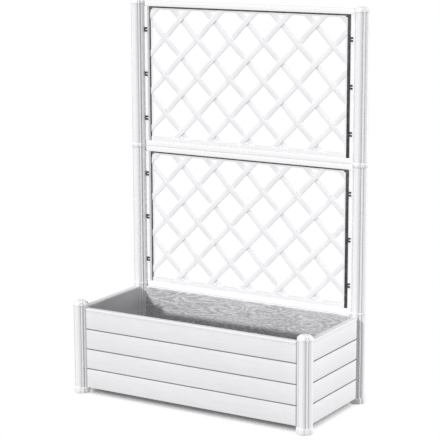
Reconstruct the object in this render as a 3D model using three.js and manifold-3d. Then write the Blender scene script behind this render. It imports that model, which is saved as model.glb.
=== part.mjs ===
// Planter box with a two-tier lattice trellis, moulded in white resin.
// Millimetres, +Z up. The origin is on the ground under the middle of the box; the front faces -Y.
import * as THREE from 'three';
import { mergeVertices } from 'three/addons/utils/BufferGeometryUtils.js';
import Module from 'manifold-3d';

const wasm = await Module();
wasm.setup();

// ---- driving dimensions -------------------------------------------------------------------
const POST_HALF_SPAN = 468;          // post axes, left and right of the middle
const POST_HALF_DEPTH = 200;         // post axes, before and behind the middle
const PIECE_GAP = 0.3;               // air left between two pieces that touch
const CUT_MARGIN = 1;                // how far a cutting shape runs past what it cuts
const JOIN_OVERLAP = 1;              // how far a shape sinks into the one that it is joined to

// The posts are hollow clover sections: four lobes, with a slim bead in each valley.
const LOBE_OFFSET = 12;              // lobe centres from the post axis
const LOBE_RADIUS = 17;
const BEAD_OFFSET = 17;              // bead centres from the post axis, along x and along y
const BEAD_RADIUS = 4;
const POST_WALL = 2.5;
const LOBE_STEPS = 7;
const BEAD_STEPS = 4;

const FOOT_HEIGHT = 22;
const FOOT_FLOOR = 4;                // solid bottom that the post stands on
const FOOT_FLARE = 3;                // how far the foot stands out past the post
const FOOT_BEVEL = 2.5;

const BOX_POST_TOP = 331;            // the four posts of the box end here
const COLLAR_HEIGHT = 11;            // ring on each rear post at the rim of the box
const COLLAR_FLARE = 1.2;
const MIDDLE_RING_DROP = 7.7;        // the second ring's foot, below where the two tiers meet
const MIDDLE_RING_HEIGHT = 20.5;
const MIDDLE_RING_FLARE = 0.9;
const REAR_POST_DROP = 12.1;         // the rear posts end this far below the top of the trellis
const CAP_FLARE = 1;
const CAP_SKIRT = 3;                 // straight band under the dome of a cap
const CAP_DOME = 17;
const DOME_RINGS = 6;
const CAP_PLUG = 12;                 // length of the plug inside the tube
const SPIGOT_LENGTH = 30;            // reach of a joint's plug into each tube
const SPIGOT_RADIUS = 19.7;
const SPIGOT_SIDES = 32;

const PANEL_BOTTOM = 23;
const PANEL_TOP = 324;
const FIRST_GROOVE = 95.2;           // height of the lowest groove
const GROOVE_PITCH = 75.15;
const GROOVE_COUNT = 3;
const PANEL_THICKNESS = 20;
const PANEL_END_INSET = 21.5;        // a panel's end from the post axis, inside the post's slot
const GROOVE_WIDTH = 5;
const GROOVE_DEPTH = 5;
const PANEL_EDGE_BEVEL = 2;
const RIM_HEIGHT = 9;                // thicker band along the top edge of each panel
const RIM_FLARE = 1.5;
const RIM_BEVEL = 2.2;
const RIM_END_INSET = 30;            // the rim stops at the post

const FLOOR_LEDGE_REACH = 12;
const FLOOR_LEDGE_HEIGHT = 10;
const FLOOR_LEDGE_RISE = 5;          // ledge bottom above the panel bottom
const FLOOR_THICKNESS = 6;
const FLOOR_CORNER_NOTCH = 33;       // cut clear of each post, from the post axis
const DRAIN_RADIUS = 7;
const DRAIN_COLUMNS = 4;
const DRAIN_ROWS = 2;
const DRAIN_SPACING_X = 220;
const DRAIN_SPACING_Y = 180;
const DRAIN_SIDES = 16;

// The trellis frame stands between the rear posts, its front face on the plane of their axes.
const FRAME_DEPTH = 16;
const STILE_OUTER_INSET = 21.5;       // stile's outer edge from the post axis, inside the slot
const STILE_FACE_INSET = 41.5;       // inner edge of the stile's front face
const STILE_INNER_INSET = 48;        // inner edge behind the bevel
const STILE_BEVEL_DEPTH = 8;
const RAIL_END_INSET = 31;           // rails end beside the posts' rings and caps
const RAIL_HEIGHT = 20.5;
const TIER_HEIGHT = 548.4;           // one frame of the trellis; the two are alike

// Dark seating strips hold each lattice at its left, right and top edges.
const LEFT_STRIP_WIDTH = 4;
const RIGHT_STRIP_WIDTH = 10;
const TOP_STRIP_HEIGHT = 5;
const STRIP_FRONT = 4;               // strip's front face behind the frame's front
const STRIP_DEPTH = 8;

const LATTICE_FRONT = 4;             // lattice's front face behind the frame's front
const LATTICE_DEPTH = 8;
const LATTICE_SIDE_BORDER = 8;
const LATTICE_TOP_BORDER = 6;
const LATTICE_BOTTOM_BORDER = 15;
const LATTICE_PITCH = 141.4;         // spacing of the crossings; the strips lean at 45 degrees
const LATTICE_STRIP_WIDTH = 18.5;
const LATTICE_STRIP_DEPTH = 4.5;     // two layers of strips, fused where they cross
const BORDER_DEPTH = 5;              // the border lies at the back of the lattice

const CLIP_WIDTH = 12;
const CLIP_HEIGHT = 17;
const CLIP_DEPTH = 3;
const CLIP_NOTCH_WIDTH = 9;
const CLIP_NOTCH_HEIGHT = 6.5;
const CLIP_SPACING = 167;
const CLIP_COUNT = 3;
const LEFT_CLIP_INSET = 35.6;        // clip centre from the post axis, on the stile's face
const RIGHT_CLIP_INSET = 39.5;

// ---- finishes -----------------------------------------------------------------------------
const whiteResin = { color: 0xeeeef0, roughness: 0.45, metalness: 0 };
const innerResin = { color: 0xdcdcde, roughness: 0.6, metalness: 0 };
const darkStrip = { color: 0x303234, roughness: 0.6, metalness: 0 };

// ---- solids -------------------------------------------------------------------------------
function solidOf(geometry) {
  const bare = geometry.clone();
  bare.deleteAttribute('normal');
  bare.deleteAttribute('uv');
  const merged = mergeVertices(bare, 1e-4);
  const triVerts = Uint32Array.from(merged.index.array);
  const vertProperties = Float32Array.from(merged.attributes.position.array);
  return new wasm.Manifold(new wasm.Mesh({ numProp: 3, vertProperties, triVerts }));
}

function geometryOf(solid) {
  const mesh = solid.getMesh();
  const geometry = new THREE.BufferGeometry();
  geometry.setAttribute('position', new THREE.BufferAttribute(Float32Array.from(mesh.vertProperties), 3));
  geometry.setIndex(new THREE.BufferAttribute(Uint32Array.from(mesh.triVerts), 1));
  geometry.computeVertexNormals();
  return geometry;
}

// A box given by its lowest and highest corners.
function boxBetween(low, high) {
  const size = high.map((value, axis) => value - low[axis]);
  const middle = high.map((value, axis) => (value + low[axis]) / 2);
  return new THREE.BoxGeometry(...size).translate(...middle);
}

const group = new THREE.Group();

function addPiece(name, geometry, finish) {
  const mesh = new THREE.Mesh(geometry, new THREE.MeshStandardMaterial(finish));
  mesh.name = name;
  group.add(mesh);
  return mesh;
}

// ---- clover section -----------------------------------------------------------------------
// Where a lobe's circle meets the bead's circle, on the lobe's side of the bead.
function valleyPoint(lobeRadius, beadRadius) {
  const dx = BEAD_OFFSET - LOBE_OFFSET;
  const dy = BEAD_OFFSET;
  const distance = Math.hypot(dx, dy);
  const along = (distance ** 2 + lobeRadius ** 2 - beadRadius ** 2) / (2 * distance);
  const across = Math.sqrt(lobeRadius ** 2 - along ** 2);
  return [
    LOBE_OFFSET + (along * dx + across * dy) / distance,
    (along * dy - across * dx) / distance,
  ];
}

// Outline of the post section, moved outwards by grow: lobes joined by beads, or bare lobes.
function cloverOutline(grow, withBeads = true) {
  const lobeRadius = LOBE_RADIUS + grow;
  const beadRadius = BEAD_RADIUS + grow;
  let valley;
  if (withBeads) {
    valley = valleyPoint(lobeRadius, beadRadius);
  } else {
    const reach = (LOBE_OFFSET + Math.sqrt(2 * lobeRadius ** 2 - LOBE_OFFSET ** 2)) / 2;
    valley = [reach, reach];
  }
  const lobeHalf = Math.atan2(valley[1], valley[0] - LOBE_OFFSET);
  const beadHalf = Math.PI / 4 - Math.atan2(valley[1] - BEAD_OFFSET, valley[0] - BEAD_OFFSET);
  const points = [];
  for (let quarter = 0; quarter < 4; quarter += 1) {
    const turn = (quarter * Math.PI) / 2;
    for (let step = 0; step < LOBE_STEPS; step += 1) {
      const angle = -lobeHalf + (2 * lobeHalf * step) / LOBE_STEPS;
      const x = LOBE_OFFSET + lobeRadius * Math.cos(angle);
      const y = lobeRadius * Math.sin(angle);
      points.push(new THREE.Vector2(x, y).rotateAround(new THREE.Vector2(), turn));
    }
    const beadSteps = withBeads ? BEAD_STEPS : 1;
    for (let step = 0; step < beadSteps; step += 1) {
      const angle = Math.PI / 4 - beadHalf + (2 * beadHalf * step) / BEAD_STEPS;
      const x = withBeads ? BEAD_OFFSET + beadRadius * Math.cos(angle) : valley[0];
      const y = withBeads ? BEAD_OFFSET + beadRadius * Math.sin(angle) : valley[1];
      points.push(new THREE.Vector2(x, y).rotateAround(new THREE.Vector2(), turn));
    }
  }
  return points;
}

// A closed skin over rings of equally many points, the first ring lowest.
function loft(rings) {
  const count = rings[0].length;
  const positions = rings.flat().flatMap((point) => [point.x, point.y, point.z]);
  const index = [];
  for (let row = 0; row < rings.length - 1; row += 1) {
    for (let i = 0; i < count; i += 1) {
      const a = row * count + i;
      const b = row * count + ((i + 1) % count);
      index.push(a, b, b + count, a, b + count, a + count);
    }
  }
  const bottom = positions.length / 3;
  const top = bottom + 1;
  const last = (rings.length - 1) * count;
  positions.push(0, 0, rings[0][0].z, 0, 0, rings[rings.length - 1][0].z);
  for (let i = 0; i < count; i += 1) {
    const next = (i + 1) % count;
    index.push(bottom, next, i);
    index.push(top, last + i, last + next);
  }
  const geometry = new THREE.BufferGeometry();
  geometry.setAttribute('position', new THREE.Float32BufferAttribute(positions, 3));
  geometry.setIndex(index);
  return geometry;
}

function ringAt(outline, z, scale = 1) {
  return outline.map((point) => new THREE.Vector3(point.x * scale, point.y * scale, z));
}

function prism(outline, bottom, top) {
  return loft([ringAt(outline, bottom), ringAt(outline, top)]);
}

function plug(bottom, top) {
  const geometry = new THREE.CylinderGeometry(SPIGOT_RADIUS, SPIGOT_RADIUS, top - bottom, SPIGOT_SIDES);
  return solidOf(geometry.rotateX(Math.PI / 2).translate(0, 0, (top + bottom) / 2));
}

// ---- posts --------------------------------------------------------------------------------
// A slot in a post: the side it opens to (+1 or -1 along x or y), how far from the axis it starts,
// its two faces and its top.
function slotCutter({ axis, side, inset, from, to, top }) {
  const reach = LOBE_OFFSET + LOBE_RADIUS + CUT_MARGIN;
  const inner = inset - PIECE_GAP;
  const span = side > 0 ? [inner, reach] : [-reach, -inner];
  const faces = [from - PIECE_GAP, to + PIECE_GAP];
  const [xs, ys] = axis === 'x' ? [span, faces] : [faces, span];
  return solidOf(boxBetween([xs[0], ys[0], -CUT_MARGIN], [xs[1], ys[1], top + PIECE_GAP]));
}

function postTube(bottom, top, slots) {
  let tube = solidOf(prism(cloverOutline(0), bottom, top));
  const bore = prism(cloverOutline(-POST_WALL, false), bottom - CUT_MARGIN, top + CUT_MARGIN);
  tube = tube.subtract(solidOf(bore));
  for (const slot of slots) {
    tube = tube.subtract(slotCutter(slot));
  }
  return tube;
}

function footCup() {
  const outside = cloverOutline(FOOT_FLARE);
  const bevelled = cloverOutline(FOOT_FLARE - FOOT_BEVEL);
  const cup = solidOf(loft([
    ringAt(bevelled, 0),
    ringAt(outside, FOOT_BEVEL),
    ringAt(outside, FOOT_HEIGHT - FOOT_BEVEL),
    ringAt(bevelled, FOOT_HEIGHT),
  ]));
  const socket = prism(cloverOutline(PIECE_GAP), FOOT_FLOOR, FOOT_HEIGHT + CUT_MARGIN);
  return cup.subtract(solidOf(socket));
}

function domeCap(seat) {
  const outline = cloverOutline(CAP_FLARE);
  const rings = [ringAt(outline, seat + PIECE_GAP)];
  for (let step = 0; step < DOME_RINGS; step += 1) {
    const angle = (step / DOME_RINGS) * (Math.PI / 2);
    rings.push(ringAt(outline, seat + CAP_SKIRT + CAP_DOME * Math.sin(angle), Math.cos(angle)));
  }
  const dome = solidOf(loft(rings));
  return dome.add(plug(seat - CAP_PLUG, seat + CAP_SKIRT));
}

function postJoint(bottom, height, flare) {
  const ring = solidOf(prism(cloverOutline(flare), bottom + PIECE_GAP, bottom + height - PIECE_GAP));
  return ring.add(plug(bottom - SPIGOT_LENGTH, bottom + height + SPIGOT_LENGTH));
}

const panelHalf = PANEL_THICKNESS / 2;
const firstTierBottom = PANEL_TOP + PIECE_GAP;
const middleRingBottom = firstTierBottom + TIER_HEIGHT - MIDDLE_RING_DROP;
const upperPostBottom = middleRingBottom + MIDDLE_RING_HEIGHT;
const middlePostBottom = BOX_POST_TOP + COLLAR_HEIGHT;
const rearPostTop = firstTierBottom + 2 * TIER_HEIGHT - REAR_POST_DROP;

function placeOnPost(mesh, side, end) {
  mesh.position.set(side * POST_HALF_SPAN, end * POST_HALF_DEPTH, 0);
}

for (const [sideName, side] of [['left', -1], ['right', 1]]) {
  for (const [endName, end] of [['front', -1], ['rear', 1]]) {
    const slots = [
      { axis: 'x', side: -side, inset: PANEL_END_INSET, from: -panelHalf, to: panelHalf, top: PANEL_TOP },
      { axis: 'y', side: -end, inset: PANEL_END_INSET, from: -panelHalf, to: panelHalf, top: PANEL_TOP },
    ];
    const tube = postTube(FOOT_FLOOR + PIECE_GAP, BOX_POST_TOP, slots);
    placeOnPost(addPiece(`${endName}_${sideName}_box_post`, geometryOf(tube), whiteResin), side, end);
    placeOnPost(addPiece(`${endName}_${sideName}_foot`, geometryOf(footCup()), whiteResin), side, end);
  }
  placeOnPost(addPiece(`front_${sideName}_cap`, geometryOf(domeCap(BOX_POST_TOP)), whiteResin), side, -1);

  const frameSlot = {
    axis: 'x', side: -side, inset: STILE_OUTER_INSET, from: 0, to: FRAME_DEPTH, top: rearPostTop,
  };
  const collar = postJoint(BOX_POST_TOP, COLLAR_HEIGHT, COLLAR_FLARE);
  const middleTube = postTube(middlePostBottom, middleRingBottom, [frameSlot]);
  const ring = postJoint(middleRingBottom, MIDDLE_RING_HEIGHT, MIDDLE_RING_FLARE);
  const upperTube = postTube(upperPostBottom, rearPostTop, [frameSlot]);
  const rearPieces = {
    collar,
    middle_post: middleTube,
    middle_ring: ring,
    upper_post: upperTube,
    top_cap: domeCap(rearPostTop),
  };
  for (const [pieceName, solid] of Object.entries(rearPieces)) {
    placeOnPost(addPiece(`rear_${sideName}_${pieceName}`, geometryOf(solid), whiteResin), side, 1);
  }
}

// ---- slatted panels of the box ------------------------------------------------------------
// Upright section of a panel, its outer face towards +x, with a groove between two slats.
function panelSection() {
  const section = new THREE.Shape();
  section.moveTo(-panelHalf, PANEL_BOTTOM);
  section.lineTo(panelHalf - PANEL_EDGE_BEVEL, PANEL_BOTTOM);
  section.lineTo(panelHalf, PANEL_BOTTOM + PANEL_EDGE_BEVEL);
  for (let number = 0; number < GROOVE_COUNT; number += 1) {
    const groove = FIRST_GROOVE + number * GROOVE_PITCH;
    section.lineTo(panelHalf, groove - GROOVE_WIDTH / 2);
    section.lineTo(panelHalf - GROOVE_DEPTH, groove);
    section.lineTo(panelHalf, groove + GROOVE_WIDTH / 2);
  }
  section.lineTo(panelHalf, PANEL_TOP - PANEL_EDGE_BEVEL);
  section.lineTo(panelHalf - PANEL_EDGE_BEVEL, PANEL_TOP);
  section.lineTo(-panelHalf, PANEL_TOP);
  return section;
}

function rimSection() {
  const outer = panelHalf + RIM_FLARE;
  const section = new THREE.Shape();
  section.moveTo(-outer, PANEL_TOP - RIM_HEIGHT);
  section.lineTo(outer, PANEL_TOP - RIM_HEIGHT);
  section.lineTo(outer, PANEL_TOP - RIM_BEVEL);
  section.lineTo(outer - RIM_BEVEL, PANEL_TOP);
  section.lineTo(-outer + RIM_BEVEL, PANEL_TOP);
  section.lineTo(-outer, PANEL_TOP - RIM_BEVEL);
  return section;
}

function ledgeSection() {
  const bottom = PANEL_BOTTOM + FLOOR_LEDGE_RISE;
  const section = new THREE.Shape();
  section.moveTo(-panelHalf - FLOOR_LEDGE_REACH, bottom);
  section.lineTo(JOIN_OVERLAP - panelHalf, bottom);
  section.lineTo(JOIN_OVERLAP - panelHalf, bottom + FLOOR_LEDGE_HEIGHT);
  section.lineTo(-panelHalf - FLOOR_LEDGE_REACH, bottom + FLOOR_LEDGE_HEIGHT);
  return section;
}

// A section drawn as (outwards, up), run along x with its outer side towards -y.
function runAlong(section, halfLength) {
  const run = new THREE.ExtrudeGeometry(section, { depth: 2 * halfLength, bevelEnabled: false });
  run.translate(0, 0, -halfLength);
  return solidOf(run.rotateX(Math.PI / 2).rotateZ(-Math.PI / 2));
}

function slattedPanel(postHalfSpacing, withLedge) {
  const bare = runAlong(panelSection(), postHalfSpacing - PANEL_END_INSET);
  let panel = bare.add(runAlong(rimSection(), postHalfSpacing - RIM_END_INSET));
  if (withLedge) {
    panel = panel.add(runAlong(ledgeSection(), postHalfSpacing - FLOOR_CORNER_NOTCH));
  }
  return panel;
}

const longPanel = geometryOf(slattedPanel(POST_HALF_SPAN, true));
const shortPanel = geometryOf(slattedPanel(POST_HALF_DEPTH, false));
addPiece('front_panel', longPanel, whiteResin).position.y = -POST_HALF_DEPTH;

const rearPanel = addPiece('rear_panel', longPanel.clone(), whiteResin);
rearPanel.position.y = POST_HALF_DEPTH;
rearPanel.rotation.z = Math.PI;

const rightPanel = addPiece('right_side_panel', shortPanel, whiteResin);
rightPanel.position.x = POST_HALF_SPAN;
rightPanel.rotation.z = Math.PI / 2;

const leftPanel = addPiece('left_side_panel', shortPanel.clone(), whiteResin);
leftPanel.position.x = -POST_HALF_SPAN;
leftPanel.rotation.z = -Math.PI / 2;

// ---- floor of the box ---------------------------------------------------------------------
const floorBottom = PANEL_BOTTOM + FLOOR_LEDGE_RISE + FLOOR_LEDGE_HEIGHT + PIECE_GAP;
const floorTop = floorBottom + FLOOR_THICKNESS;
const floorHalfX = POST_HALF_SPAN - panelHalf - PIECE_GAP;
const floorHalfY = POST_HALF_DEPTH - panelHalf - PIECE_GAP;

function floorPanel() {
  const notchX = POST_HALF_SPAN - FLOOR_CORNER_NOTCH;
  const notchY = POST_HALF_DEPTH - FLOOR_CORNER_NOTCH;
  const outline = new THREE.Shape([
    new THREE.Vector2(-floorHalfX, -notchY), new THREE.Vector2(-notchX, -notchY),
    new THREE.Vector2(-notchX, -floorHalfY), new THREE.Vector2(notchX, -floorHalfY),
    new THREE.Vector2(notchX, -notchY), new THREE.Vector2(floorHalfX, -notchY),
    new THREE.Vector2(floorHalfX, notchY), new THREE.Vector2(notchX, notchY),
    new THREE.Vector2(notchX, floorHalfY), new THREE.Vector2(-notchX, floorHalfY),
    new THREE.Vector2(-notchX, notchY), new THREE.Vector2(-floorHalfX, notchY),
  ]);
  for (let column = 0; column < DRAIN_COLUMNS; column += 1) {
    for (let row = 0; row < DRAIN_ROWS; row += 1) {
      const x = (column - (DRAIN_COLUMNS - 1) / 2) * DRAIN_SPACING_X;
      const y = (row - (DRAIN_ROWS - 1) / 2) * DRAIN_SPACING_Y;
      const hole = new THREE.Path();
      hole.absarc(x, y, DRAIN_RADIUS, 0, 2 * Math.PI, true);
      outline.holes.push(hole);
    }
  }
  const options = { depth: FLOOR_THICKNESS, bevelEnabled: false, curveSegments: DRAIN_SIDES };
  return new THREE.ExtrudeGeometry(outline, options).translate(0, 0, floorBottom);
}

addPiece('floor_panel', geometryOf(solidOf(floorPanel())), innerResin);

// ---- trellis frame ------------------------------------------------------------------------
const frameFront = POST_HALF_DEPTH;
const frameBack = frameFront + FRAME_DEPTH;
const railHalf = POST_HALF_SPAN - RAIL_END_INSET;

function rail(bottom, top) {
  return boxBetween([-railHalf, frameFront, bottom], [railHalf, frameBack, top]);
}

// A stile's level section: flat face, then a bevel that falls back towards the lattice.
function stile(side, bottom, top) {
  const place = (inset, depth) => new THREE.Vector2(side * (POST_HALF_SPAN - inset), frameFront + depth);
  const section = new THREE.Shape([
    place(STILE_OUTER_INSET, 0),
    place(STILE_FACE_INSET, 0),
    place(STILE_INNER_INSET, STILE_BEVEL_DEPTH),
    place(STILE_INNER_INSET, FRAME_DEPTH),
    place(STILE_OUTER_INSET, FRAME_DEPTH),
  ]);
  const upright = new THREE.ExtrudeGeometry(section, { depth: top - bottom, bevelEnabled: false });
  return upright.translate(0, 0, bottom);
}

// ---- lattices -----------------------------------------------------------------------------
const openingHalf = POST_HALF_SPAN - STILE_INNER_INSET - PIECE_GAP;
const latticeLeft = LEFT_STRIP_WIDTH + PIECE_GAP - openingHalf;
const latticeRight = openingHalf - RIGHT_STRIP_WIDTH - PIECE_GAP;

// One flat lattice: a border with two layers of slanting strips before it, clipped to its outline.
function lattice(bottom, top) {
  const front = frameFront + LATTICE_FRONT;
  const back = front + LATTICE_DEPTH;
  const outline = solidOf(boxBetween([latticeLeft, front, bottom], [latticeRight, back, top]));
  const border = boxBetween([latticeLeft, back - BORDER_DEPTH, bottom], [latticeRight, back, top]);
  const opening = solidOf(boxBetween(
    [latticeLeft + LATTICE_SIDE_BORDER, front - CUT_MARGIN, bottom + LATTICE_BOTTOM_BORDER],
    [latticeRight - LATTICE_SIDE_BORDER, back + CUT_MARGIN, top - LATTICE_TOP_BORDER],
  ));
  const middleZ = (bottom + top) / 2;
  const stripLength = 2 * (openingHalf + top - bottom);
  const strips = Math.ceil((openingHalf + (top - bottom) / 2) / LATTICE_PITCH);
  let grille = solidOf(border).subtract(opening);
  for (const lean of [-1, 1]) {
    const depth = lean > 0 ? front + LATTICE_STRIP_DEPTH / 2 : back - LATTICE_STRIP_DEPTH / 2;
    for (let number = -strips; number < strips; number += 1) {
      const strip = new THREE.BoxGeometry(stripLength, LATTICE_STRIP_DEPTH, LATTICE_STRIP_WIDTH);
      strip.rotateY((-lean * Math.PI) / 4);
      strip.translate((number + 0.5) * LATTICE_PITCH, depth, middleZ);
      grille = grille.add(solidOf(strip).intersect(outline));
    }
  }
  return grille;
}

// ---- seating strips and clips -------------------------------------------------------------
function sideStrip(side, bottom, top) {
  const xs = side < 0
    ? [-openingHalf, latticeLeft - PIECE_GAP]
    : [latticeRight + PIECE_GAP, openingHalf];
  const front = frameFront + STRIP_FRONT;
  return boxBetween([xs[0], front, bottom], [xs[1], front + STRIP_DEPTH, top]);
}

function topStrip(top) {
  const front = frameFront + STRIP_FRONT;
  return boxBetween([latticeLeft, front, top - TOP_STRIP_HEIGHT], [latticeRight, front + STRIP_DEPTH, top]);
}

// Clip: a small plate with a notch in its free edge, so two prongs show.
function clip() {
  const plate = solidOf(new THREE.BoxGeometry(CLIP_WIDTH, CLIP_DEPTH, CLIP_HEIGHT));
  const notch = new THREE.BoxGeometry(CLIP_NOTCH_WIDTH, 2 * CLIP_DEPTH, CLIP_NOTCH_HEIGHT);
  notch.translate((CLIP_WIDTH - CLIP_NOTCH_WIDTH) / 2 + PIECE_GAP, 0, 0);
  return geometryOf(plate.subtract(solidOf(notch)));
}

// One tier of the trellis: two rails, two stiles, the seating strips, the lattice and the clips.
function addTier(tier, tierBottom) {
  const tierTop = tierBottom + TIER_HEIGHT;
  addPiece(`${tier}_bottom_rail`, rail(tierBottom, tierBottom + RAIL_HEIGHT), whiteResin);
  addPiece(`${tier}_top_rail`, rail(tierTop - RAIL_HEIGHT, tierTop - PIECE_GAP), whiteResin);
  const bottom = tierBottom + RAIL_HEIGHT + PIECE_GAP;
  const top = tierTop - RAIL_HEIGHT - PIECE_GAP;
  const latticeTop = top - TOP_STRIP_HEIGHT - PIECE_GAP;
  addPiece(`${tier}_lattice`, geometryOf(lattice(bottom, latticeTop)), whiteResin);
  addPiece(`${tier}_top_strip`, topStrip(top), darkStrip);
  for (const [sideName, side] of [['left', -1], ['right', 1]]) {
    const stileShape = geometryOf(solidOf(stile(side, bottom, top)));
    addPiece(`${tier}_${sideName}_stile`, stileShape, whiteResin);
    addPiece(`${tier}_${sideName}_strip`, sideStrip(side, bottom, top), darkStrip);
    for (let number = 0; number < CLIP_COUNT; number += 1) {
      const piece = addPiece(`${tier}_${sideName}_clip_${number + 1}`, clip(), darkStrip);
      const height = (bottom + top) / 2 + (number - (CLIP_COUNT - 1) / 2) * CLIP_SPACING;
      const reach = POST_HALF_SPAN - (side < 0 ? LEFT_CLIP_INSET : RIGHT_CLIP_INSET);
      piece.position.set(side * reach, frameFront - CLIP_DEPTH / 2 - PIECE_GAP, height);
    }
  }
}

addTier('lower', firstTierBottom);
addTier('upper', firstTierBottom + TIER_HEIGHT);

export default group;
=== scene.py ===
# %% [markdown]
# # A white planter box with a lattice trellis
#
# The object is a garden planter of moulded white resin. A long slatted box stands on posts, and a
# tall trellis of slanting strips rises from the two rear posts. This lesson dresses a finished
# CAD model of it: the CAD gives every piece its place, and each cell below makes the fine surface
# of a few pieces in the same frame (metres, +Z up, front towards -Y).

import bmesh
import bpy
import numpy as np
from mathutils import Matrix, Vector


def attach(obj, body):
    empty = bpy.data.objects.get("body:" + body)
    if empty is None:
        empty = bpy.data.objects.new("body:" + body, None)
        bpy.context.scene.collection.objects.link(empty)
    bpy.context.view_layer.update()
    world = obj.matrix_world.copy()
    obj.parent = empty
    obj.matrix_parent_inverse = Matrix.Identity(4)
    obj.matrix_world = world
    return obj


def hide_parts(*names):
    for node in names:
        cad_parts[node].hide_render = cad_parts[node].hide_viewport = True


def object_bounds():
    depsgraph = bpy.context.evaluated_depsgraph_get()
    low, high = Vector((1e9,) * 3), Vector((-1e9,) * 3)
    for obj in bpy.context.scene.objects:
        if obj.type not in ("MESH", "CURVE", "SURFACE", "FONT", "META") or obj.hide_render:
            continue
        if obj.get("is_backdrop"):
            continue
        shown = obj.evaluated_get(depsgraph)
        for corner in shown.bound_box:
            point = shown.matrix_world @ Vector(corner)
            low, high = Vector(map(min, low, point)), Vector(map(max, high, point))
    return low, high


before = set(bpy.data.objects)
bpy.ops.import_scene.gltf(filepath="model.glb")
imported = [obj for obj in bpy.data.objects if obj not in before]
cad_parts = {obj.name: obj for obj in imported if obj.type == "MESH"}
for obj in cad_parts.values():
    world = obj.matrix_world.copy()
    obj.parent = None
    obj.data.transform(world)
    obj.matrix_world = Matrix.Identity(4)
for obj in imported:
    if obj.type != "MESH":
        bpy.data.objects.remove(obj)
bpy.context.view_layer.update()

# %% [markdown]
# ## Sizes
#
# The real planter is about a metre long. The sizes that more than one piece needs are kept here
# under the names a maker would use; the rest stand beside the piece that they shape.

# %% Shared sizes
MM = 0.001
POST_X = 468 * MM  # post axes from the middle, along the box
POST_Y = 200 * MM  # post axes from the middle, across the box
BOX_POST_BOTTOM = 4.3 * MM
BOX_POST_TOP = 331 * MM
COLLAR_TOP = 342 * MM
RING_BOTTOM = 865 * MM
RING_TOP = 885.5 * MM
REAR_POST_TOP = 1409 * MM
PANEL_BOTTOM = 23 * MM
PANEL_TOP = 324 * MM
PANEL_HALF = 10 * MM  # half of a panel's thickness
FIRST_GROOVE = 95.2 * MM
GROOVE_PITCH = 75.15 * MM
TIER_HEIGHT = 548.4 * MM
RAIL_HEIGHT = 20.5 * MM
AIR = 0.3 * MM  # between pieces that touch
SIDES = {"left": -1, "right": 1}
ENDS = {"front": -1, "rear": 1}

# %% [markdown]
# ## Mesh helpers
#
# Nearly every piece of this planter is one outline carried along a line: a post is a clover
# carried upwards, a panel is its upright section carried along the box. Stacking closed rings of
# points and joining each to the next gives all of these, so one small helper serves the object.
# Moulded resin has no sharp corners, so a second helper rounds the corners of any outline.


# %% Rings of points to a closed skin
def skin(rings):
    """Closed skin over an array of rings (rings, points, 3), with a flat face at each end."""
    rings = np.asarray(rings, float)
    count, around = rings.shape[:2]
    grid = np.arange(count * around).reshape(count, around)
    turned = np.roll(grid, -1, axis=1)
    walls = np.stack([grid[:-1], turned[:-1], turned[1:], grid[1:]], axis=-1).reshape(-1, 4)
    faces = walls.tolist() + [grid[0, ::-1].tolist(), grid[-1].tolist()]
    return rings.reshape(-1, 3), faces


def together(*shapes):
    """Several (points, faces) shapes as one, with the later faces' numbers moved on."""
    points = [np.asarray(p) for p, _ in shapes]
    starts = np.cumsum([0] + [len(p) for p in points[:-1]])
    faces = [[n + s for n in face] for (_, fs), s in zip(shapes, starts) for face in fs]
    return np.concatenate(points), faces


def rounded(corners, radius, steps=4):
    """Outline whose corners become arcs.

    At each corner the path turns by an angle t. The arc of radius r starts r * tan(t / 2) before
    the corner, and its centre lies r to the side that the path turns to.
    """
    corners = np.asarray(corners, float)
    radius = np.broadcast_to(np.asarray(radius, float), len(corners))
    arriving = corners - np.roll(corners, 1, axis=0)
    arriving /= np.linalg.norm(arriving, axis=1, keepdims=True)
    leaving = np.roll(arriving, -1, axis=0)
    cross = arriving[:, 0] * leaving[:, 1] - arriving[:, 1] * leaving[:, 0]
    turn = np.arctan2(cross, (arriving * leaving).sum(axis=1))
    start = corners - arriving * (radius * np.tan(np.abs(turn) / 2))[:, None]
    inward = np.stack([-arriving[:, 1], arriving[:, 0]], axis=1) * np.sign(turn)[:, None]
    centre = start + inward * radius[:, None]
    first = np.arctan2(start[:, 1] - centre[:, 1], start[:, 0] - centre[:, 0])
    angle = first[:, None] + turn[:, None] * np.linspace(0, 1, steps + 1)
    arcs = np.stack([np.cos(angle), np.sin(angle)], axis=-1) * radius[:, None, None]
    return (centre[:, None] + arcs).reshape(-1, 2)


def carried(outline, stations, across, up, along, origin=(0, 0, 0)):
    """Rings made by carrying a flat outline to each station along a line.

    The point (a, b) of the outline goes to origin + a * across + b * up + station * along.
    """
    outline = np.asarray(outline, float)
    flat = outline[:, :1] * np.array(across, float) + outline[:, 1:] * np.array(up, float)
    steps = np.asarray(stations, float)[:, None, None] * np.array(along, float)
    return flat[None] + steps + np.array(origin, float)


# %% From a shape to an object that stands for CAD nodes
made = []


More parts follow.
